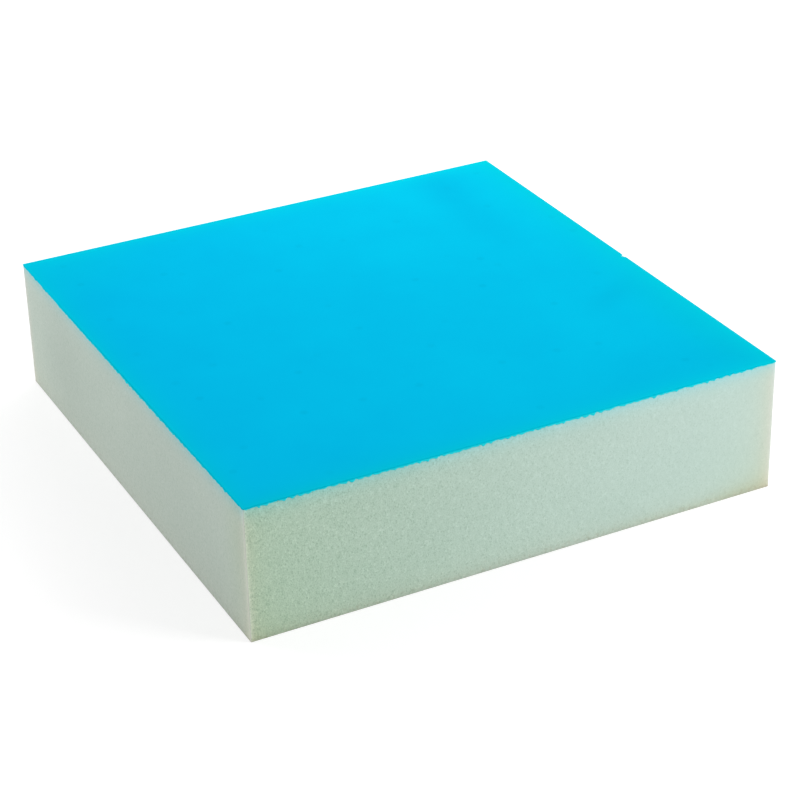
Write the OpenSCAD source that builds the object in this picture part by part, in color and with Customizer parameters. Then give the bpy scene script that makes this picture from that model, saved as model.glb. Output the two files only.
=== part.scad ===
// Square cleaning pad: a block of fine-celled foam with a thin plastic sheet bonded over its top face.
// The pad was cut from a larger board, and the blade drew the sheet down over the foam in a torn hem.
// The origin is at the centre of the underside. X runs along the front edge, Y to the back and Z up.

/* [Pad] */
// Width of the pad, along its front edge
pad_w = 100; // [60:1:160]
// Depth of the pad, from front to back
pad_d = 102; // [60:1:160]
// Height of the pad, with its sheet
pad_h = 25; // [10:0.5:50]

/* [Foam] */
// Radius of the foam's four upright edges
upright_r = 0.15; // [0.1:0.05:4]
// Radius of the foam's edges around the underside
under_r = 0.2; // [0.1:0.05:4]

/* [Sheet] */
// Thickness of the sheet
sheet_t = 0.2; // [0.1:0.05:2]

/* [Torn hem] */
// Thickness of the hem that hangs over the foam's sides
hem_t = 0.1; // [0.05:0.05:0.5]
// Height of the hem around the corners
hem_corner_h = 0.05; // [0.05:0.05:0.5]
// How much lower the hem hangs midway along the front side
hem_bow_h = 0.2; // [0.05:0.05:2]
// Distance from one torn tooth to the next
tooth_pitch = 1.5; // [1:0.5:10]
// Height of the longest teeth on the front side
tooth_h = 0.4; // [0.1:0.1:2]

/* [Chip] */
// Width of the chip broken out of the sheet's right edge
chip_w = 1.2; // [0.5:0.1:5]
// Depth of the chip, in from the right edge
chip_deep = 0.6; // [0.3:0.1:3]
// Place of the chip along the right edge, from its front end
chip_place_share = 0.48; // [0.1:0.01:0.9]

/* [Hidden] */

// Facets of a round corner
$fn = 48;
// How far a cut runs past what it cuts
overrun = 1;

// The foam fills the hem from side to side and carries the sheet on its top face
foam_w = pad_w - 2 * hem_t;
foam_d = pad_d - 2 * hem_t;
foam_h = pad_h - sheet_t;

// The sheet's corners run parallel to the foam's
sheet_r = upright_r + hem_t;
// Height of the hem's root inside the sheet
hem_root_h = sheet_t / 2;

// Sides in turn: front, right, back and left
side_runs = [pad_w - 2 * sheet_r, pad_d - 2 * sheet_r, pad_w - 2 * sheet_r, pad_d - 2 * sheet_r];
side_reaches = [foam_d / 2, foam_w / 2, foam_d / 2, foam_w / 2];
// How much lower each side's hem hangs midway, set against the front side's
side_bow_shares = [1, 1.4, 1.4, 1.8];
// Height of each side's teeth, set against the front side's
side_tooth_shares = [1, 0.75, 0.75, 0.75];
// Place of a tooth's tip within its pitch: the teeth lean the way the blade ran, to the right and to the back
side_tip_shares = [0.7, 0.7, 0.3, 0.3];
// Seed of each side's teeth
side_seeds = [11, 23, 37, 41];

// How far a tip or a notch strays from its place, within the pitch
stray_share = 0.15;
// Short teeth are a little more common: a tooth's height follows its random number raised to this power
tooth_power = 1.3;

// Width of the chip's floor
chip_floor_share = 0.45;
// Lowest point that any part of the hem reaches below the sheet
hem_reach_h = hem_corner_h + hem_bow_h * max(side_bow_shares) + tooth_h;

// Rectangle with rounded corners, centred on the origin
module rounded_outline(w, d, r) {
    square([w - 2 * r, d], center = true);
    square([w, d - 2 * r], center = true);
    for (x_side = [-1, 1], y_side = [-1, 1])
        translate([x_side * (w / 2 - r), y_side * (d / 2 - r)])
            circle(r);
}

// Rectangle that stands on the X axis, with its two lower corners rounded
module footed_outline(w, h, r) {
    translate([-w / 2, r])
        square([w, h - r]);
    translate([r - w / 2, 0])
        square([w - 2 * r, h]);
    for (x_side = [-1, 1])
        translate([x_side * (w / 2 - r), r])
            circle(r);
}

// How far the hem hangs below the sheet at a share of the way along a side, before its teeth
function hem_drop(share, bow_share) = hem_corner_h + hem_bow_h * bow_share * 4 * share * (1 - share);

// Lower edge of one side's hem: a notch and a tip for each tooth, and the far end
function torn_edge(run, bow_share, tooth_share, tip_share, seed) =
    let (
        teeth = ceil(run / tooth_pitch),
        notch_strays = rands(-stray_share, stray_share, teeth, seed),
        tip_strays = rands(-stray_share, stray_share, teeth, seed + 1),
        tooth_shares = rands(0, 1, teeth, seed + 2)
    )
    [
        for (i = [0 : teeth - 1])
            let (
                notch_share = (i == 0 ? 0 : i + notch_strays[i]) / teeth,
                point_share = (i + tip_share + tip_strays[i]) / teeth,
                tooth_drop = tooth_share * tooth_h * pow(tooth_shares[i], tooth_power)
            )
            each [
                [run * (notch_share - 1 / 2), -hem_drop(notch_share, bow_share)],
                [run * (point_share - 1 / 2), -hem_drop(point_share, bow_share) - tooth_drop]
            ],
        [run / 2, -hem_corner_h]
    ];

// Hem of one side, standing against the foam, with its root inside the sheet
module side_hem(run, reach, bow_share, tooth_share, tip_share, seed) {
    translate([0, -reach, foam_h])
        rotate([90, 0, 0])
            linear_extrude(hem_t)
                polygon(concat(
                    torn_edge(run, bow_share, tooth_share, tip_share, seed),
                    [[run / 2, hem_root_h], [-run / 2, hem_root_h]]
                ));
}

// Flat sheet with the short rim that it keeps all round, also at the corners
module rimmed_sheet() {
    difference() {
        translate([0, 0, foam_h - hem_corner_h])
            linear_extrude(hem_corner_h + sheet_t)
                rounded_outline(pad_w, pad_d, sheet_r);
        translate([0, 0, foam_h - hem_corner_h - overrun])
            linear_extrude(hem_corner_h + overrun)
                rounded_outline(foam_w, foam_d, upright_r);
    }
}

// Wedge that breaks the chip out of the right edge, through the sheet and its hem
module chip_cut() {
    translate([pad_w / 2, pad_d * (chip_place_share - 1 / 2), foam_h - hem_reach_h - overrun])
        linear_extrude(hem_reach_h + sheet_t + 2 * overrun)
            polygon([
                [-chip_deep, -chip_w * chip_floor_share / 2],
                [0, -chip_w / 2],
                [overrun, -chip_w / 2],
                [overrun, chip_w / 2],
                [0, chip_w / 2],
                [-chip_deep, chip_w * chip_floor_share / 2]
            ]);
}

// Foam block: its plan and its two upright sections, intersected
module foam_block() {
    color("#B7CFC1")
        intersection() {
            linear_extrude(foam_h)
                rounded_outline(foam_w, foam_d, upright_r);
            rotate([90, 0, 0])
                linear_extrude(pad_d, center = true)
                    footed_outline(foam_w, foam_h, under_r);
            rotate([90, 0, 90])
                linear_extrude(pad_w, center = true)
                    footed_outline(foam_d, foam_h, under_r);
        }
}

// Plastic sheet over the foam's top face, with its torn hem and its chip
module face_sheet() {
    color("#00B9E6")
        difference() {
            union() {
                rimmed_sheet();
                for (side = [0 : 3])
                    rotate(90 * side)
                        side_hem(
                            side_runs[side],
                            side_reaches[side],
                            side_bow_shares[side],
                            side_tooth_shares[side],
                            side_tip_shares[side],
                            side_seeds[side]
                        );
            }
            chip_cut();
        }
}

foam_block();
face_sheet();
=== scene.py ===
"""Looks of a square cleaning pad: a block of fine-celled foam under a thin blue plastic sheet.

Lengths are in metres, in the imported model's own frame, and MM is one millimetre. The foam and the sheet
are each one closed surface: a section carried round the pad's rounded outline, closed at two poles.
"""

import math

import bpy
import numpy as np
from mathutils import Matrix, Vector


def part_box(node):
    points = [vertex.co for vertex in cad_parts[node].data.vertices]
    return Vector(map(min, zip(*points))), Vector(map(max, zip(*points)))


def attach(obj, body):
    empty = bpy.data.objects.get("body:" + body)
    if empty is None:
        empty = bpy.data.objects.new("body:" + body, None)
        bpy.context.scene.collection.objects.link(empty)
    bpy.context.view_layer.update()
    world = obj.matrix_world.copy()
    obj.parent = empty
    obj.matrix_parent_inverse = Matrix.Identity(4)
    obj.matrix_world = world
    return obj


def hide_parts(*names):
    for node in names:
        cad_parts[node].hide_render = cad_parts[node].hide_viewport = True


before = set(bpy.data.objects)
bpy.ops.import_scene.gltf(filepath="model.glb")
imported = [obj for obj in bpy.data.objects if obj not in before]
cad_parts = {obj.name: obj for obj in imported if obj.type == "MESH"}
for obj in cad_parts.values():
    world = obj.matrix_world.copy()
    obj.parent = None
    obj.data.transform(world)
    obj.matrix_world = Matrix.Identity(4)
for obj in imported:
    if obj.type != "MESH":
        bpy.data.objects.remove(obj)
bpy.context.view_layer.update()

MM = 0.001

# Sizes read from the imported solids
foam_low, foam_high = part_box("foam_block")
sheet_low, sheet_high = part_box("face_sheet")
FOAM_W = foam_high.x - foam_low.x
FOAM_D = foam_high.y - foam_low.y
FOAM_H = foam_high.z
PAD_W = sheet_high.x - sheet_low.x
PAD_D = sheet_high.y - sheet_low.y
PAD_H = sheet_high.z
HEM_T = (PAD_W - FOAM_W) / 2

# How close to a plane or a line a point counts as on it
TOUCH = 0.01 * MM
# Places that agree to this many decimals of a metre count as one
PLACE_DECIMALS = 7
# Points round a rounded edge
BEND_POINTS = 6

# Foam: how finely its sides are divided, and the rings of its two flat faces, as shares of the outline
FOAM_STEP = 0.37 * MM
FOAM_RINGS = np.array([0.35, 0.7, 0.9, 0.98])
# Foam: the faint relief of its sides
RELIEF_WAVE = 1.3 * MM
RELIEF_DEEP = 0.008 * MM
RELIEF_SEED = 3
SWELL_WAVE = 9 * MM
SWELL_DEEP = 0.006 * MM
SWELL_SEED = 4
# Foam: depth below the sheet without relief, so that the hem lies clear of it, and over which it sets in
RELIEF_CLEAR = 0.75 * MM
RELIEF_FADE = 1.5 * MM

# Foam: where the yellowing beside the upright edges starts and how far it reaches, how far the painted
# highlight along them reaches, and the shares of both at each edge, from the front right anticlockwise
YELLOW_START = 0.6 * MM
YELLOW_REACH = 2.2 * MM
YELLOW_SHARES = (1.0, 0.5, 0.1, 0.3)
EDGE_HIGHLIGHT_REACH = 0.8 * MM
EDGE_HIGHLIGHT_SHARES = (0.8, 0.8, 0.8, 0.9)

# Foam: how far the stains at the four lower corners reach, and their shares, in the same order
STAIN_REACH = 6 * MM
STAIN_SHARES = (0.6, 0.6, 0.2, 0.4)

# Foam: how strongly its cells, with their painted shade, show on its other faces, against those at the left
# end of the front side, where the light grazes
LEFT_GRAIN_SHADE = 0.15
RIGHT_GRAIN_SHADE = 0.4
BACK_GRAIN_SHADE = 0.4
UNDER_GRAIN_SHADE = 0.4

# Sheet: how finely its edge is divided, and its rounded shoulder
SHEET_STEP = 0.17 * MM
SHOULDER_R = 0.12 * MM
# Sheet: the rings of its top face and underside, as shares of the outline, and those near its edge, by
# their distance from it
TOP_RINGS = np.array([0.06, 0.15, 0.25, 0.35, 0.45, 0.55, 0.65, 0.75, 0.84, 0.91, 0.96])
UNDER_RINGS = np.array([1.0, 0.96, 0.5])
RIM_RINGS = np.array([0.9, 0.7, 0.52, 0.38, 0.27, 0.2]) * MM
# Sheet: the strip along its edge that the chip bends
RIM_DEPTH = RIM_RINGS[0]
# Sheet: the rows of its hem, as shares of its depth, the share of its thickness that is left at its torn
# edge, and the power of the depth by which it thins
HEM_ROWS = np.array([0.4, 0.75, 0.93, 1.0])
TORN_T_SHARE = 0.15
THINNING_POWER = 3
# Sheet: the fraying of its torn edge
FRAY_WAVE = 0.5 * MM
FRAY_DEEP = 0.04 * MM
FRAY_SEED = 7
SHRED_WAVE = 1.1 * MM
SHRED_DEEP = 0.06 * MM
SHRED_SEED = 8
# Sheet: the waviness of its top face, and the share of its half width over which that sets in from the edge
LAY_WAVE = 28 * MM
LAY_DEEP = 0.02 * MM
LAY_SEED = 12
LAY_FADE_SHARE = 0.1

# Camera, as the photograph was taken: the point that it faces, its angles round that, and its distance
CAMERA_AIM = Vector((-2.303, -11.145, 12.5)) * MM
CAMERA_AZIMUTH = math.radians(-26.679)
CAMERA_ELEVATION = math.radians(28.576)
CAMERA_ROLL = math.radians(-1.356)
CAMERA_DISTANCE = 421.26 * MM
# Camera: its focal length, in millimetres, and the nearest distance that it sees
CAMERA_LENS = 106.393
CAMERA_NEAREST = 10 * MM

# Lamps: their width, and each one's name, turn and rise in degrees, distance, and power in watts
LAMP_SIZE = 0.2
LAMPS = (
    ("key_front_right", -45, 35, 0.50, 1.61),
    ("fill_back_left", 135, 28, 0.50, 0.931),
    ("high_back_right", 40, 55, 0.26, 0.176),
    ("low_back_right", 65, 35, 0.26, 0.197),
)
# Strength of the even light from all round
TENT_STRENGTH = 0.35
# Half the width of the floor
FLOOR_HALF = 1.5


# Shapes


def wave_noise(points, wavelength, seed, waves=40):
    """Smooth noise of about unit spread: the sum of plane waves of one wavelength in random directions."""
    dice = np.random.default_rng(seed)
    headings = dice.normal(size=(3, waves))
    headings /= np.linalg.norm(headings, axis=0)
    phases = dice.uniform(0, math.tau, waves)
    return np.sin(points @ headings * (math.tau / wavelength) + phases).sum(axis=-1) * math.sqrt(2 / waves)


def pad_outline(width, depth, radius, step, corner_steps=12):
    """Path round a rectangle with rounded corners, anticlockwise from the left end of the front side.

    Each side is a straight run cut into equal steps, followed by a quarter circle about its corner's
    centre. Returns points and outward directions, both with one row for each side, and each point's place
    along its side's run.
    """
    points = []
    outwards = []
    places = []
    for side in range(4):
        half, reach = (width / 2, depth / 2) if side % 2 == 0 else (depth / 2, width / 2)
        run = half - radius
        along = np.linspace(-run, run, round(2 * run / step), endpoint=False)
        bend = np.linspace(0, math.pi / 2, corner_steps, endpoint=False)
        flat = np.stack([along, np.full_like(along, -reach)], axis=1)
        heading = np.stack([np.sin(bend), -np.cos(bend)], axis=1)
        corner = np.array([run, radius - reach]) + radius * heading
        turn = np.linalg.matrix_power(np.array([[0, 1], [-1, 0]]), side)
        points.append(np.concatenate([flat, corner]) @ turn)
        outwards.append(np.concatenate([np.tile([0.0, -1.0], (len(along), 1)), heading]) @ turn)
        places.append(np.concatenate([along, np.full_like(bend, run)]))
    return points, outwards, places


def carry(points, outwards, scales, insets, heights):
    """Carry a section round a path.

    Each row is the path, moved inwards by the row's inset, then scaled about the middle and put at the
    row's height. Insets and heights have one row for each row of the section, with one value for the whole
    path or one for each of its points.
    """
    count = len(points)
    plan = points - outwards * np.broadcast_to(insets, (len(scales), count))[:, :, None]
    plan = plan * np.asarray(scales)[:, None, None]
    height = np.broadcast_to(heights, (len(scales), count))[:, :, None]
    return np.concatenate([plan, height], axis=2)


def closed_piece(name, rows, first_pole, last_pole):
    """Mesh of rows of points that close on themselves, with a fan from the first and last row to a pole.

    Rows run from the first pole to the last, anticlockwise about the way they run, so that faces look out.
    """
    row_count, count, _ = rows.shape
    vertices = np.concatenate([rows.reshape(-1, 3), [first_pole, last_pole]])
    index = np.arange(row_count * count).reshape(row_count, count)
    after = np.roll(index, -1, axis=1)
    quads = np.stack([index[:-1], after[:-1], after[1:], index[1:]], axis=-1).reshape(-1, 4)
    pole = np.full(count, row_count * count)
    first_fan = np.stack([pole, after[0], index[0]], axis=-1)
    last_fan = np.stack([pole + 1, index[-1], after[-1]], axis=-1)
    mesh = bpy.data.meshes.new(name)
    mesh.from_pydata(vertices, [], quads.tolist() + first_fan.tolist() + last_fan.tolist())
    mesh.polygons.foreach_set("use_smooth", np.ones(len(mesh.polygons), bool))
    piece = bpy.data.objects.new(name, mesh)
    bpy.context.scene.collection.objects.link(piece)
    return piece


def keep_values(piece, name, values):
    """Keep one number for each point of a piece, for its material to read."""
    attribute = piece.data.attributes.new(name, "FLOAT", "POINT")
    attribute.data.foreach_set("value", np.asarray(values, np.float32).ravel())


def node_points(name):
    """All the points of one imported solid, as an array."""
    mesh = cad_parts[name].data
    flat = np.empty(len(mesh.vertices) * 3, np.float32)
    mesh.vertices.foreach_get("co", flat)
    return flat.reshape(-1, 3).astype(float)


def lowest_along(places, values):
    """Sort points by their place and keep the lowest value at each place."""
    order = np.lexsort((values, places))
    kept, first = np.unique(np.round(places[order], PLACE_DECIMALS), return_index=True)
    return kept, values[order][first]


def upright_radius(solid):
    """Radius of a solid's upright edges: how far from its corners its right and left sides stop."""
    reach_x, reach_y = np.abs(solid[:, :2]).max(axis=0)
    on_side = np.abs(solid[:, 0]) > reach_x - TOUCH
    return reach_y - np.abs(solid[on_side, 1]).max()


def foot_radius(solid):
    """Radius of a solid's edges round its underside: the height at which its right and left sides start."""
    on_side = np.abs(solid[:, 0]) > np.abs(solid[:, 0]).max() - TOUCH
    return solid[on_side, 2].min()


def make_foam():
    """Foam block: an upright section with a rounded foot, carried round the outline, with a faint relief.

    The foot and the two flat faces are the outline, scaled about the middle. The relief moves each point of
    the sides along its outward direction, by a fine noise and a slow swell that die away under the sheet.
    """
    solid = node_points("foam_block")
    under_r = foot_radius(solid)
    sides, headings, _ = pad_outline(FOAM_W, FOAM_D, upright_radius(solid), FOAM_STEP)
    points = np.concatenate(sides)
    outwards = np.concatenate(headings)

    bend = np.linspace(0, math.pi / 2, BEND_POINTS)
    foot_scales = 1 - under_r * (1 - np.sin(bend)) / (FOAM_W / 2)
    foot_heights = under_r * (1 - np.cos(bend))
    side_heights = np.linspace(under_r, FOAM_H, round((FOAM_H - under_r) / FOAM_STEP))[1:]
    scales = np.concatenate([FOAM_RINGS, foot_scales, np.ones(len(side_heights)), FOAM_RINGS[::-1]])
    under_heights = np.zeros(len(FOAM_RINGS))
    heights = np.concatenate([under_heights, foot_heights, side_heights, under_heights + FOAM_H])

    level = carry(points, outwards, scales, 0, heights[:, None])
    relief = RELIEF_DEEP * wave_noise(level, RELIEF_WAVE, RELIEF_SEED)
    relief += SWELL_DEEP * wave_noise(level, SWELL_WAVE, SWELL_SEED)
    fade = np.clip((FOAM_H - heights - RELIEF_CLEAR) / RELIEF_FADE, 0, 1) * (scales == 1)
    rows = carry(points, outwards, scales, -relief * fade[:, None], heights[:, None])
    foam = closed_piece("foam_block_cells", rows, (0, 0, 0), (0, 0, FOAM_H))
    keep_ageing_and_light(foam, np.concatenate([level.reshape(-1, 3), [(0, 0, 0), (0, 0, FOAM_H)]]))
    return foam


def keep_ageing_and_light(foam, spots):
    """Keep what the foam's material needs to know of each point's place, for its ageing and its painted
    light and shade.

    The share of the painted highlight falls off as the exponential of the distance in plan from each upright
    edge, times that edge's share. yellowed is the difference of two such exponentials, so that it starts a
    little way in from the edge. stained falls off as the exponential of the distance from each lower corner.
    from_foot_mm is the distance from the lower edges: the height on the sides, and the distance in from the
    outline on the underside. The share of the cells' painted shade, which also sets their bump, goes evenly
    from one at the left end of the front side, where the light grazes, to nothing at its right end, and has
    one value on each other face. The share of painted light on the left side is one there and nothing on the
    others.
    """
    half = np.array([FOAM_W / 2, FOAM_D / 2])
    corners = np.array([(1, -1), (1, 1), (-1, 1), (-1, -1)]) * half
    away = np.linalg.norm(spots[:, None, :2] - corners, axis=2)
    band = np.exp(-away / YELLOW_REACH) - np.exp(-away / YELLOW_START)
    keep_values(foam, "yellowed", (band * YELLOW_SHARES).sum(axis=1))
    keep_values(foam, "edge_highlight", (np.exp(-away / EDGE_HIGHLIGHT_REACH) * EDGE_HIGHLIGHT_SHARES).sum(axis=1))
    from_corner = np.hypot(away, spots[:, 2:])
    keep_values(foam, "stained", (np.exp(-from_corner / STAIN_REACH) * STAIN_SHARES).sum(axis=1))
    inset = (half - np.abs(spots[:, :2])).min(axis=1)
    keep_values(foam, "from_foot_mm", np.maximum(spots[:, 2], inset) / MM)

    ways = np.array([(0, -1), (1, 0), (0, 1), (-1, 0)])
    past = spots[:, :2] @ ways.T - np.abs(ways) @ half
    on_front, on_right, on_back, on_left = np.clip(past / TOUCH + 2, 0, 1).T
    on_under = np.clip(1 - spots[:, 2] / TOUCH, 0, 1)
    others = on_right * RIGHT_GRAIN_SHADE + on_back * BACK_GRAIN_SHADE
    others = others + on_left * LEFT_GRAIN_SHADE + on_under * UNDER_GRAIN_SHADE
    keep_values(foam, "grain_shade", on_front * (0.5 - spots[:, 0] / FOAM_W) + others * (1 - on_front))
    keep_values(foam, "left_side_light", on_left)


def hem_and_chip(places, side):
    """How far the torn hem hangs below the sheet, and how far the chip bites in, along one side's places.

    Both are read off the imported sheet: the hem from the lowest points of its outer face, the chip from the
    edge of its top face, each joined by straight lines.
    """
    turn = np.linalg.matrix_power(np.array([[0, -1], [1, 0]]), side)
    solid = node_points("face_sheet")
    plan = solid[:, :2] @ turn
    reach = (PAD_D if side % 2 == 0 else PAD_W) / 2
    inset = plan[:, 1] + reach
    on_hem = (inset < TOUCH) & (solid[:, 2] < FOAM_H - TOUCH)
    hem_places, hem_heights = lowest_along(plan[on_hem, 0], solid[on_hem, 2])
    on_edge = (inset < RIM_DEPTH) & (solid[:, 2] > PAD_H - TOUCH)
    on_edge &= np.abs(plan[:, 0]) < places[-1] + TOUCH
    edge_places, edge_insets = lowest_along(plan[on_edge, 0], -inset[on_edge])
    drop = FOAM_H - np.interp(places, hem_places, hem_heights)
    return drop, -np.interp(places, edge_places, edge_insets)


def make_sheet():
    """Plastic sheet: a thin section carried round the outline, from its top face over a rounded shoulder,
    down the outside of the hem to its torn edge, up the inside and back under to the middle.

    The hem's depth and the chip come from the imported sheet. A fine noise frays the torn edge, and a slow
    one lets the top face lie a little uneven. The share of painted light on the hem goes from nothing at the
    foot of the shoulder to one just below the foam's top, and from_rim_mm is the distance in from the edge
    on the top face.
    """
    radius = upright_radius(node_points("face_sheet"))
    sides, headings, places = pad_outline(PAD_W, PAD_D, radius, SHEET_STEP)
    points = np.concatenate(sides)
    outwards = np.concatenate(headings)
    read = [hem_and_chip(places[side], side) for side in range(4)]
    drop = np.concatenate([hem for hem, _ in read])
    chip = np.concatenate([bite for _, bite in read])
    path = np.concatenate([points, np.zeros((len(points), 1))], axis=1)
    fray = FRAY_DEEP * wave_noise(path, FRAY_WAVE, FRAY_SEED)
    fray += SHRED_DEEP * wave_noise(path, SHRED_WAVE, SHRED_SEED)
    torn_height = FOAM_H - np.where(chip > TOUCH, TOUCH, np.maximum(drop + fray, TOUCH))

    top_scales = np.concatenate([TOP_RINGS, 1 - (RIM_RINGS - SHOULDER_R) / (PAD_W / 2)])
    bend = np.linspace(0, math.pi / 2, BEND_POINTS)
    shoulder_insets = SHOULDER_R * (1 - np.sin(bend))
    shoulder_heights = PAD_H - SHOULDER_R * (1 - np.cos(bend))
    hem_insets = HEM_T * (1 - TORN_T_SHARE) * HEM_ROWS**THINNING_POWER
    hem_heights = shoulder_heights[-1] + (torn_height - shoulder_heights[-1]) * HEM_ROWS[:, None]

    count = len(points)
    heights = np.concatenate([
        np.full((len(top_scales), count), PAD_H),
        np.tile(shoulder_heights[:, None], count),
        hem_heights,
        torn_height[None, :],
        np.full((len(UNDER_RINGS), count), FOAM_H),
    ])
    insets = np.concatenate([
        np.full(len(top_scales), SHOULDER_R),
        shoulder_insets,
        hem_insets,
        np.full(1 + len(UNDER_RINGS), HEM_T),
    ])
    scales = np.ones(len(insets))
    scales[:len(top_scales)] = top_scales
    scales[-len(UNDER_RINGS):] = UNDER_RINGS
    depths = insets + (1 - scales) * PAD_W / 2
    bent = np.clip(1 - depths / RIM_DEPTH, 0, 1)
    rows = carry(points, outwards, scales, insets[:, None] + chip * bent[:, None], heights)
    on_top = np.arange(len(rows)) < len(top_scales)
    lie = LAY_DEEP * wave_noise(rows, LAY_WAVE, LAY_SEED)
    rows[:, :, 2] += lie * (np.clip((1 - scales) / LAY_FADE_SHARE, 0, 1) * on_top)[:, None]
    sheet = closed_piece("face_sheet_film", rows[::-1], (0, 0, FOAM_H), (0, 0, PAD_H))

    shoulder_foot = PAD_H - SHOULDER_R
    hem_light = np.clip((shoulder_foot - rows[::-1, :, 2]) / (shoulder_foot - FOAM_H + 2 * TOUCH), 0, 1)
    keep_values(sheet, "hem_light", np.append(hem_light, [1, 0]))
    from_rim = np.where(on_top, depths, 0)[::-1]
    keep_values(sheet, "from_rim_mm", np.append(np.repeat(from_rim, count), [PAD_W / 2, PAD_W / 2]) / MM)
    return sheet


# Materials


# Foam: the two shades that it drifts between, and the width of that drift
MINT_DARKER = "#BDD3CA"
MINT_PALER = "#C3D8CF"
MINT_DRIFT = 14 * MM
# Foam: the whitish painted highlight at the crest of an upright edge, and how narrow it is, as the power
# that the highlight's share is raised to
EDGE_HIGHLIGHT_WHITE = "#EDEBE3"
EDGE_HIGHLIGHT_POWER = 4.0

# Foam: the tints that its colour is multiplied by: painted shade, darker and greener, towards the left end
# of the front side; painted light, lighter and pinker, on the left side; where it has yellowed; at its
# stained lower corners; and the painted highlight along its upright edges
LEFT_END_SHADE = (0.863, 0.918, 0.78, 1.0)
LEFT_SIDE_LIGHT = (1.17, 1.065, 1.06, 1.0)
YELLOWED = (1.15, 0.945, 0.825, 1.0)
CORNER_STAINED = (0.94, 0.92, 0.77, 1.0)
EDGE_HIGHLIGHT_TINT = (1.29, 1.09, 1.14, 1.0)

# Foam: its lower part, painted paler as light from the floor, and more so on the left side, the soiled foot
# of the other sides, and the painted contact shade, a dark line along the foot: how far each reaches from
# the lower edges, and its tint
FLOOR_LIGHT_REACH_MM = 7
FLOOR_LIGHT = (1.065, 1.045, 1.035, 1.0)
LEFT_FLOOR_LIGHT_REACH_MM = 5
LEFT_FLOOR_LIGHT = (1.07, 1.04, 1.045, 1.0)
SOILED_REACH_MM = 1.5
SOILED = (0.97, 0.895, 0.865, 1.0)
CONTACT_SHADE_REACH_MM = 0.5
CONTACT_SHADE = (0.86, 0.84, 0.86, 1.0)

# Foam: the specks of dirt along the foot: the space between them, how far up they reach, their tint, and
# the levels of a noise at which a speck starts and is full
DIRT_SPACE = 0.6 * MM
DIRT_REACH_MM = 1.3
DIRT = (0.84, 0.81, 0.76, 1.0)
DIRT_STARTS = 0.54
DIRT_FULL = 0.66

# Foam: the blue that shows in it under the sheet: the depth at which it is full, how far it reaches below
# that, and its tint
BLUED_FROM = 0.2 * MM
BLUED_REACH = 1.15 * MM
BLUED = (0.65, 1.03, 1.18, 1.0)

# Foam: soft marks: place of the middle and reach along the three axes, in millimetres, and tint
FOAM_MARKS = (
    # Darker patch at the back of the left side
    (-50, 32, 13, 10, 14, 12, (0.918, 0.922, 0.922, 1.0)),
    # Duller strip at the front of the left side
    (-50, -48, 17, 2, 4.5, 12, (0.955, 0.975, 0.92, 1.0)),
    # Brownish stain at the right end of the front side's foot
    (44, -51, 0, 5.5, 2, 2.6, (0.97, 0.935, 0.865, 1.0)),
    # Fainter stain further along that foot
    (32, -51, 0, 14, 2, 1.5, (1.0, 0.985, 0.93, 1.0)),
    # Painted highlight: paler, greener strip on the left side, along the front left edge
    (-49.9, -50.9, 10, 0.25, 1.0, 40, (1.025, 1.09, 1.06, 1.0)),
)

# Foam: width and height of its cells, drawn a little wider than the finest ones, which would not show
CELL_W = 0.26 * MM
CELL_H = 0.31 * MM
# Foam: the tints of a cell's pit and wall, part grain and part painted shade in the hollow, and the
# distances from its middle, in cell widths, at which the pit's tint ends and the wall's is full
CELL_PIT = (0.893, 0.923, 0.9, 1.0)
CELL_WALL = (1.064, 1.045, 1.058, 1.0)
PIT_ENDS = 0.1
WALL_STARTS = 0.7
# Foam: the few cells that are cut open deeper, and the few that keep a pale skin: where in the run of each
# cell's random number they start and are full, and their tint
ODD_CELLS = (
    (0.7, 0.8, (0.81, 0.86, 0.83, 1.0)),
    (0.25, 0.15, (1.15, 1.11, 1.135, 1.0)),
)
# Foam: how strongly the cells and their painted shade show where their share is nothing and where it is
# full, and how deep they look
GRAIN_LEAST = 0.27
GRAIN_MOST = 1.1
CELL_DEEP = 0.03 * MM

# Sheet: the two shades that it drifts between, at its left and right ends, and the width of that drift
CYAN_DARKER = ("#00AFDF", "#00AFD6")
CYAN_PALER = ("#00BBE5", "#00BBDC")
CYAN_DRIFT = 16 * MM
# Sheet: the turquoise of its rim, how far that reaches in, and the pale cyan painted on its hem as light, so
# that its shaded sides look as bright as the top
TURQUOISE = "#00BCD8"
RIM_REACH_MM = 2.4
HEM_LIGHT_CYAN = "#24DAEA"

# Sheet: tints along its front, left, right and back edges, those of the left and back edges painted light:
# the axis across the edge, one if the distance from it grows along that axis and minus one if not, how far
# the tint reaches in, and the tint
EDGE_TINTS = (
    ("Y", 1, 2.5 * MM, (1.0, 0.985, 0.95, 1.0)),
    # Painted light on the shaded left hem
    ("X", 1, 0.2 * MM, (1.0, 1.09, 1.085, 1.0)),
    ("X", -1, 4 * MM, (1.0, 1.03, 0.92, 1.0)),
    # Painted light along the back edge
    ("Y", -1, 2.5 * MM, (1.0, 1.12, 1.02, 1.0)),
)
HALF_SPANS = {"X": PAD_W / 2, "Y": PAD_D / 2}

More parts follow.
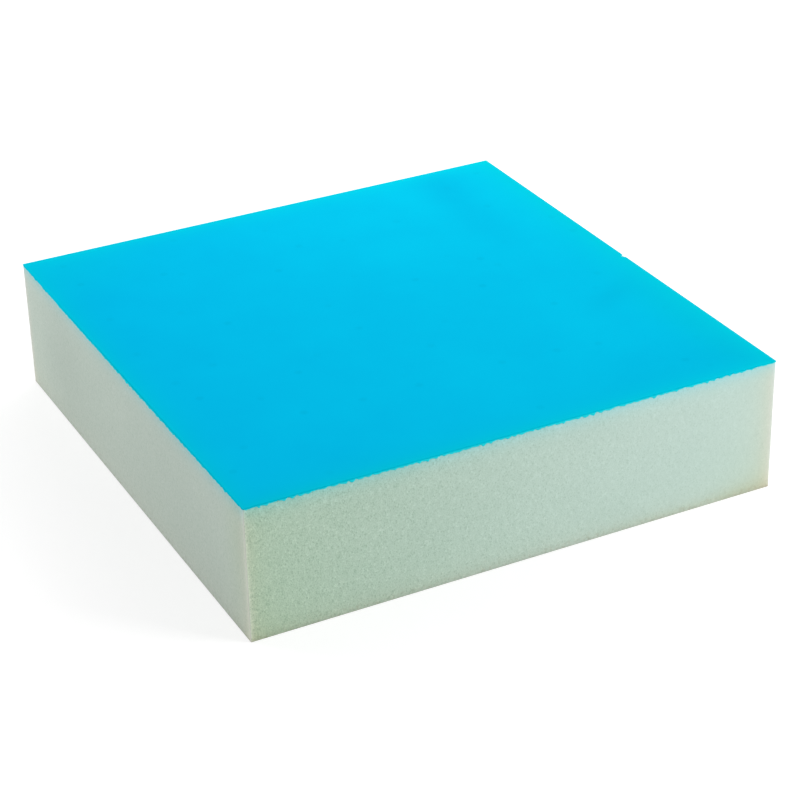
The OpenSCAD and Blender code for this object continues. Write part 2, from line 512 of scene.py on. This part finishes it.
# Sheet: soft marks: place of the middle and reach, in millimetres, turn in degrees, and tint
SHEET_MARKS = (
    # Painted light on the back right part
    (34, 40, 34, 30, 0, (1.0, 1.07, 1.025, 1.0)),
    # Dark band in from the back edge, near the right corner
    (35.8, 44, 5.5, 25, -4, (1.0, 0.89, 0.945, 1.0)),
    # Dark streak near the right edge
    (38.5, -15.5, 7.5, 2.8, 34, (1.0, 0.95, 0.96, 1.0)),
    # Darker front right corner
    (40, -45, 22, 9, 0, (1.0, 0.945, 0.96, 1.0)),
    # Greener back left corner
    (-45, 46, 14, 14, 0, (1.0, 1.03, 0.95, 1.0)),
    # Darker stretch of the left edge
    (-50, 20, 9, 20, 0, (1.0, 0.965, 0.98, 1.0)),
    # Darker strip along the front edge
    (0, -51, 70, 7, 0, (1.0, 0.98, 0.985, 1.0)),
    # Greener strip along the front half of the right edge
    (46, -30, 5, 22, 0, (1.0, 0.975, 0.945, 1.0)),
)
# Sheet: its specks: the space between them, their size as a share of it, and the tint of the darkest
SPECK_SPACE = 13 * MM
SPECK_SHARE = 0.07
SPECKED = (1.0, 0.92, 0.94, 1.0)
# Sheet: its faint orange peel: width, depth and strength
PEEL_WIDE = 0.8 * MM
PEEL_DEEP = 0.02 * MM
PEEL_STRENGTH = 0.1

# Floor: the card that lights the pad, the shade that shows, how much even white shows beside the pad, and
# the distances between which that rises to full white
CARD_WHITE = "#F6F6F5"
CARD_SHADE = "#A0A0A0"
FLOOR_LIFT = 0.72
LIFT_STARTS = PAD_W / 2
LIFT_FULL = 3 * PAD_W

# Sockets of a colour Mix node
FACTOR, COLOUR_A, COLOUR_B, MIXED = 0, 6, 7, 2


def linear(hex_colour):
    """Turn an sRGB colour written as #RRGGBB into the linear colour, with alpha, that a socket takes."""
    shares = np.array([int(hex_colour[i:i + 2], 16) for i in (1, 3, 5)]) / 255
    light = np.where(shares <= 0.04045, shares / 12.92, ((shares + 0.055) / 1.055) ** 2.4)
    return (*light.tolist(), 1.0)


def add_node(tree, kind, inputs=None, **settings):
    """Add one node with its settings; each input is a constant, or the output socket that feeds it."""
    made = tree.nodes.new(kind)
    for name, value in settings.items():
        setattr(made, name, value)
    for socket, value in (inputs or {}).items():
        if isinstance(value, bpy.types.NodeSocket):
            tree.links.new(value, made.inputs[socket])
        else:
            made.inputs[socket].default_value = value
    return made


def new_material(name):
    """A material with no nodes yet, and its node tree."""
    material = bpy.data.materials.new(name)
    material.use_nodes = True
    material.node_tree.nodes.clear()
    return material, material.node_tree


def near(tree, distance, reach):
    """Share that is one at no distance and falls off as the exponential of the distance over the reach."""
    steps = add_node(tree, "ShaderNodeMath", {0: distance, 1: -1 / reach}, operation="MULTIPLY")
    share = add_node(tree, "ShaderNodeMath", {0: steps.outputs["Value"]}, operation="EXPONENT")
    return share.outputs["Value"]


def blend(tree, share, first, second, blend_type="MIX"):
    """Colour between two colours, or the first one multiplied by a share of the second."""
    return add_node(tree, "ShaderNodeMix", {
        FACTOR: share, COLOUR_A: first, COLOUR_B: second,
    }, data_type="RGBA", blend_type=blend_type).outputs[MIXED]


def marked(tree, place, tone, middle, turn, reach, tint):
    """Colour with a soft-edged mark, multiplied by its tint.

    The share falls off as the exponential of minus the squared distance from the mark's middle, counted in
    reaches along three axes that are turned about the upright one.
    """
    steps = add_node(tree, "ShaderNodeMapping", {
        "Vector": place, "Location": middle, "Rotation": (0, 0, math.radians(turn)), "Scale": reach,
    }, vector_type="TEXTURE").outputs["Vector"]
    squared = add_node(tree, "ShaderNodeVectorMath", {0: steps, 1: steps}, operation="DOT_PRODUCT")
    return blend(tree, near(tree, squared.outputs["Value"], 1), tone, tint, "MULTIPLY")


def cut_polyurethane_foam():
    """Flexible polyurethane foam, cut with a blade: matt and pale mint green, with open cells 0.3 mm wide.

    The cells give a fine grain of tiny hollows, a few of them deeper and a few with a pale skin, and painted
    shade in the hollows that is strongest at the left end of the front side, where the light grazes. That
    end is painted darker and greener too, as shade, and the left side lighter and pinker, as the light on
    it. A whitish highlight is painted along the upright edges, and the foam beside them has yellowed. The
    lower corners are stained, the lower part is painted paler as light from the floor, more so on the left
    side, the foot of the other sides is soiled, the foot is specked with dirt, and painted contact shade
    darkens a line along it. A little of the sheet's blue shows in the foam under it.
    """
    material, tree = new_material("cut_polyurethane_foam")
    place = add_node(tree, "ShaderNodeTexCoord").outputs["Object"]
    height = add_node(tree, "ShaderNodeSeparateXYZ", {"Vector": place}).outputs["Z"]
    from_foot, edge_highlight, stained, yellowed, grain_shade, left_side_light = (
        add_node(tree, "ShaderNodeAttribute", attribute_name=name).outputs["Fac"]
        for name in ("from_foot_mm", "edge_highlight", "stained", "yellowed", "grain_shade", "left_side_light")
    )

    # Ageing, marks, and painted light and shade
    drift = add_node(tree, "ShaderNodeTexNoise", {"Vector": place, "Scale": 1 / MINT_DRIFT, "Detail": 2.0})
    tone = blend(tree, drift.outputs["Fac"], linear(MINT_DARKER), linear(MINT_PALER))
    left_end_shade = add_node(tree, "ShaderNodeMath", {0: grain_shade, 1: grain_shade}, operation="MULTIPLY")
    for share, tint in (
        # Painted shade, darker and greener, towards the left end of the front side
        (left_end_shade.outputs["Value"], LEFT_END_SHADE),
        # Painted light, lighter and pinker, on the left side
        (left_side_light, LEFT_SIDE_LIGHT),
        (yellowed, YELLOWED),
        (stained, CORNER_STAINED),
    ):
        tone = blend(tree, share, tone, tint, "MULTIPLY")
    for x, y, z, reach_x, reach_y, reach_z, tint in FOAM_MARKS:
        middle = (x * MM, y * MM, z * MM)
        tone = marked(tree, place, tone, middle, 0, (reach_x * MM, reach_y * MM, reach_z * MM), tint)

    # Foot: painted light from the floor, soiling, painted contact shade and dirt
    soiled = add_node(tree, "ShaderNodeMath", {
        0: near(tree, from_foot, SOILED_REACH_MM), 1: left_side_light,
    }, operation="SUBTRACT", use_clamp=True).outputs["Value"]
    left_floor_light = add_node(tree, "ShaderNodeMath", {
        0: near(tree, from_foot, LEFT_FLOOR_LIGHT_REACH_MM), 1: left_side_light,
    }, operation="MULTIPLY").outputs["Value"]
    dirt = add_node(tree, "ShaderNodeTexNoise", {"Vector": place, "Scale": 1 / DIRT_SPACE, "Detail": 2.0})
    dirty = add_node(tree, "ShaderNodeMapRange", {
        "Value": dirt.outputs["Fac"],
        "From Min": DIRT_STARTS,
        "From Max": DIRT_FULL,
        "To Min": 0.0,
        "To Max": near(tree, from_foot, DIRT_REACH_MM),
    }).outputs["Result"]
    for share, tint in (
        # Painted light from the floor on the lower part of every side
        (near(tree, from_foot, FLOOR_LIGHT_REACH_MM), FLOOR_LIGHT),
        (soiled, SOILED),
        # More painted light from the floor on the lower part of the left side
        (left_floor_light, LEFT_FLOOR_LIGHT),
        # Painted contact shade: a dark line along the foot
        (near(tree, from_foot, CONTACT_SHADE_REACH_MM), CONTACT_SHADE),
        (dirty, DIRT),
    ):
        tone = blend(tree, share, tone, tint, "MULTIPLY")

    # Under the sheet, and the painted highlight along the upright edges
    below = add_node(tree, "ShaderNodeMath", {0: FOAM_H - BLUED_FROM, 1: height}, operation="SUBTRACT")
    tone = blend(tree, near(tree, below.outputs["Value"], BLUED_REACH), tone, BLUED, "MULTIPLY")
    # Painted highlight along the upright edges: lighter near them, whitish at the crest
    tone = blend(tree, edge_highlight, tone, EDGE_HIGHLIGHT_TINT, "MULTIPLY")
    highlight_share = add_node(tree, "ShaderNodeMath", {
        0: edge_highlight, 1: EDGE_HIGHLIGHT_POWER,
    }, operation="POWER").outputs["Value"]
    tone = blend(tree, highlight_share, tone, linear(EDGE_HIGHLIGHT_WHITE))

    # Cells, with painted shade in their hollows, that show less under the painted edge highlight
    steps = add_node(tree, "ShaderNodeMapping", {
        "Vector": place, "Scale": (1 / CELL_W, 1 / CELL_W, 1 / CELL_H),
    }).outputs["Vector"]
    cells = add_node(tree, "ShaderNodeTexVoronoi", {"Vector": steps, "Scale": 1.0}).outputs
    wall = add_node(tree, "ShaderNodeMapRange", {
        "Value": cells["Distance"], "From Min": PIT_ENDS, "From Max": WALL_STARTS,
    }).outputs["Result"]
    grain_share = add_node(tree, "ShaderNodeMath", {0: grain_shade, 1: highlight_share}, operation="SUBTRACT", use_clamp=True)
    strength = add_node(tree, "ShaderNodeMapRange", {
        "Value": grain_share.outputs["Value"], "To Min": GRAIN_LEAST, "To Max": GRAIN_MOST,
    }, clamp=False).outputs["Result"]
    tone = blend(tree, strength, tone, blend(tree, wall, CELL_PIT, CELL_WALL), "MULTIPLY")
    for starts, full, tint in ODD_CELLS:
        odd = add_node(tree, "ShaderNodeMapRange", {
            "Value": cells["Color"],
            "From Min": starts,
            "From Max": full,
            "To Min": 0.0,
            "To Max": strength,
        }).outputs["Result"]
        tone = blend(tree, odd, tone, tint, "MULTIPLY")

    bump = add_node(tree, "ShaderNodeBump", {
        "Height": cells["Distance"], "Strength": strength, "Distance": CELL_DEEP,
    }).outputs["Normal"]
    shader = add_node(tree, "ShaderNodeBsdfPrincipled", {
        "Base Color": tone,
        "Normal": bump,
        "Roughness": 0.95,
        "IOR": 1.45,
        "Specular IOR Level": 0.05,
    }).outputs["BSDF"]
    add_node(tree, "ShaderNodeOutputMaterial", {"Surface": shader})
    return material


def satin_polyethylene_film():
    """Cast polyethylene film, smooth and satin: bright cyan blue all through, with hardly any gloss.

    Its colour is a little uneven, as a thin film over foam is, with a few soft smudges and small specks, and
    painted light makes its back right part and its left and back edges lighter. It turns to turquoise at the
    rim, and its hem is painted paler, as light, so that its shaded sides look as bright as the top.
    """
    material, tree = new_material("satin_polyethylene_film")
    place = add_node(tree, "ShaderNodeTexCoord").outputs["Object"]
    across = add_node(tree, "ShaderNodeSeparateXYZ", {"Vector": place}).outputs
    from_rim, hem_light = (
        add_node(tree, "ShaderNodeAttribute", attribute_name=name).outputs["Fac"]
        for name in ("from_rim_mm", "hem_light")
    )

    # Uneven colour, marks and specks
    drift = add_node(tree, "ShaderNodeTexNoise", {
        "Vector": place, "Scale": 1 / CYAN_DRIFT, "Detail": 6.0, "Roughness": 0.6,
    })
    rightness = add_node(tree, "ShaderNodeMapRange", {
        "Value": across["X"], "From Min": -PAD_W / 2, "From Max": PAD_W / 2,
    }).outputs["Result"]
    darker, paler = (
        blend(tree, rightness, linear(left), linear(right)) for left, right in (CYAN_DARKER, CYAN_PALER)
    )
    tone = blend(tree, drift.outputs["Fac"], darker, paler)
    for x, y, reach_x, reach_y, turn, tint in SHEET_MARKS:
        middle = (x * MM, y * MM, PAD_H)
        tone = marked(tree, place, tone, middle, turn, (reach_x * MM, reach_y * MM, PAD_H), tint)
    specks = add_node(tree, "ShaderNodeTexVoronoi", {
        "Vector": place, "Scale": 1 / SPECK_SPACE,
    }, voronoi_dimensions="2D").outputs
    speck = add_node(tree, "ShaderNodeMapRange", {
        "Value": specks["Distance"],
        "From Min": SPECK_SHARE,
        "From Max": SPECK_SHARE / 2,
        "To Min": 0.0,
        "To Max": specks["Color"],
    }).outputs["Result"]
    tone = blend(tree, speck, tone, SPECKED, "MULTIPLY")

    # Rim, hem painted paler as light, and edges, the left and back ones painted lighter as light
    tone = blend(tree, near(tree, from_rim, RIM_REACH_MM), tone, linear(TURQUOISE))
    # Hem painted pale cyan as light, so that its shaded sides look as bright as the top
    tone = blend(tree, hem_light, tone, linear(HEM_LIGHT_CYAN))
    for axis, way, reach, tint in EDGE_TINTS:
        gap = add_node(tree, "ShaderNodeMath", {
            0: across[axis], 1: way, 2: HALF_SPANS[axis],
        }, operation="MULTIPLY_ADD").outputs["Value"]
        tone = blend(tree, near(tree, gap, reach), tone, tint, "MULTIPLY")

    peel = add_node(tree, "ShaderNodeTexNoise", {"Vector": place, "Scale": 1 / PEEL_WIDE, "Detail": 2.0})
    bump = add_node(tree, "ShaderNodeBump", {
        "Height": peel.outputs["Fac"], "Strength": PEEL_STRENGTH, "Distance": PEEL_DEEP,
    }).outputs["Normal"]
    shader = add_node(tree, "ShaderNodeBsdfPrincipled", {
        "Base Color": tone,
        "Normal": bump,
        "Roughness": 0.5,
        "IOR": 1.5,
        "Specular IOR Level": 0.001,
    }).outputs["BSDF"]
    add_node(tree, "ShaderNodeOutputMaterial", {"Surface": shader})
    return material


def seen_rays(tree):
    """One for rays that show the background: from the camera, mirrored, or through something clear."""
    rays = add_node(tree, "ShaderNodeLightPath").outputs
    either = add_node(tree, "ShaderNodeMath", {
        0: rays["Is Camera Ray"], 1: rays["Is Glossy Ray"],
    }, operation="MAXIMUM").outputs["Value"]
    return add_node(tree, "ShaderNodeMath", {
        0: either, 1: rays["Is Transmission Ray"],
    }, operation="MAXIMUM").outputs["Value"]


def pale_floor_card():
    """Matt white card under the pad, which shows as a white background and keeps the pad's soft shadow.

    What shows is part shaded card and part even white, and more of the white away from the pad.
    """
    material, tree = new_material("pale_floor_card")
    card = add_node(tree, "ShaderNodeBsdfDiffuse", {"Color": linear(CARD_WHITE)}).outputs["BSDF"]
    place = add_node(tree, "ShaderNodeTexCoord").outputs["Object"]
    distance = add_node(tree, "ShaderNodeVectorMath", {0: place}, operation="LENGTH").outputs["Value"]
    lift = add_node(tree, "ShaderNodeMapRange", {
        "Value": distance,
        "From Min": LIFT_STARTS,
        "From Max": LIFT_FULL,
        "To Min": FLOOR_LIFT,
        "To Max": 1.0,
    }).outputs["Result"]
    glow = add_node(tree, "ShaderNodeEmission", {"Strength": lift}).outputs["Emission"]
    shade = add_node(tree, "ShaderNodeBsdfDiffuse", {"Color": linear(CARD_SHADE)}).outputs["BSDF"]
    shown = add_node(tree, "ShaderNodeAddShader", {0: shade, 1: glow}).outputs["Shader"]
    shader = add_node(tree, "ShaderNodeMixShader", {0: seen_rays(tree), 1: card, 2: shown})
    add_node(tree, "ShaderNodeOutputMaterial", {"Surface": shader.outputs["Shader"]})
    return material


# Stage


def add_floor(half):
    """Flat square floor at the height of the pad's underside."""
    corners = [(-half, -half, 0), (half, -half, 0), (half, half, 0), (-half, half, 0)]
    mesh = bpy.data.meshes.new("floor")
    mesh.from_pydata(corners, [], [(0, 1, 2, 3)])
    floor = bpy.data.objects.new("floor", mesh)
    bpy.context.scene.collection.objects.link(floor)
    mesh.materials.append(pale_floor_card())


def add_lamp(name, turn, rise, distance, power):
    """Square soft white lamp that faces the middle of the pad.

    Its place is given by the angle that it is turned from the right side anticlockwise, the angle that it
    is raised, both in degrees, and its distance.
    """
    lamp = bpy.data.lights.new(name, "AREA")
    lamp.size = LAMP_SIZE
    lamp.energy = power
    turn = math.radians(turn)
    rise = math.radians(rise)
    way = Vector((math.cos(rise) * math.cos(turn), math.cos(rise) * math.sin(turn), math.sin(rise)))
    holder = bpy.data.objects.new(name, lamp)
    holder.location = way * distance
    holder.rotation_mode = "QUATERNION"
    holder.rotation_quaternion = (Vector((0, 0, PAD_H / 2)) - holder.location).to_track_quat("-Z", "Y")
    holder.visible_camera = False
    bpy.context.scene.collection.objects.link(holder)


def add_world(strength):
    """Even white light from all round, as in a white tent, which shows as a white background."""
    world = bpy.data.worlds.new("tent")
    world.use_nodes = True
    tree = world.node_tree
    tree.nodes.clear()
    level = add_node(tree, "ShaderNodeMapRange", {
        "Value": seen_rays(tree), "To Min": strength, "To Max": 1.0,
    }).outputs["Result"]
    light = add_node(tree, "ShaderNodeBackground", {"Strength": level}).outputs["Background"]
    add_node(tree, "ShaderNodeOutputWorld", {"Surface": light})
    bpy.context.scene.world = world


def add_camera():
    """Camera on a sphere round its aim, turned to face it and then rolled."""
    back = Vector((
        math.sin(CAMERA_AZIMUTH) * math.cos(CAMERA_ELEVATION),
        -math.cos(CAMERA_AZIMUTH) * math.cos(CAMERA_ELEVATION),
        math.sin(CAMERA_ELEVATION),
    ))
    camera = bpy.data.objects.new("camera", bpy.data.cameras.new("camera"))
    camera.data.lens = CAMERA_LENS
    camera.data.clip_start = CAMERA_NEAREST
    turn = (-back).to_track_quat("-Z", "Y").to_matrix() @ Matrix.Rotation(CAMERA_ROLL, 3, "Z")
    camera.matrix_world = Matrix.Translation(CAMERA_AIM + back * CAMERA_DISTANCE) @ turn.to_4x4()
    bpy.context.scene.collection.objects.link(camera)
    bpy.context.scene.camera = camera


add_camera()

foam = make_foam()
foam.data.materials.append(cut_polyurethane_foam())
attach(foam, "root")
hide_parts("foam_block")

sheet = make_sheet()
sheet.data.materials.append(satin_polyethylene_film())
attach(sheet, "root")
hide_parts("face_sheet")

add_floor(FLOOR_HALF)
add_world(TENT_STRENGTH)
for lamp_row in LAMPS:
    add_lamp(*lamp_row)

bpy.context.scene.view_settings.view_transform = "Standard"
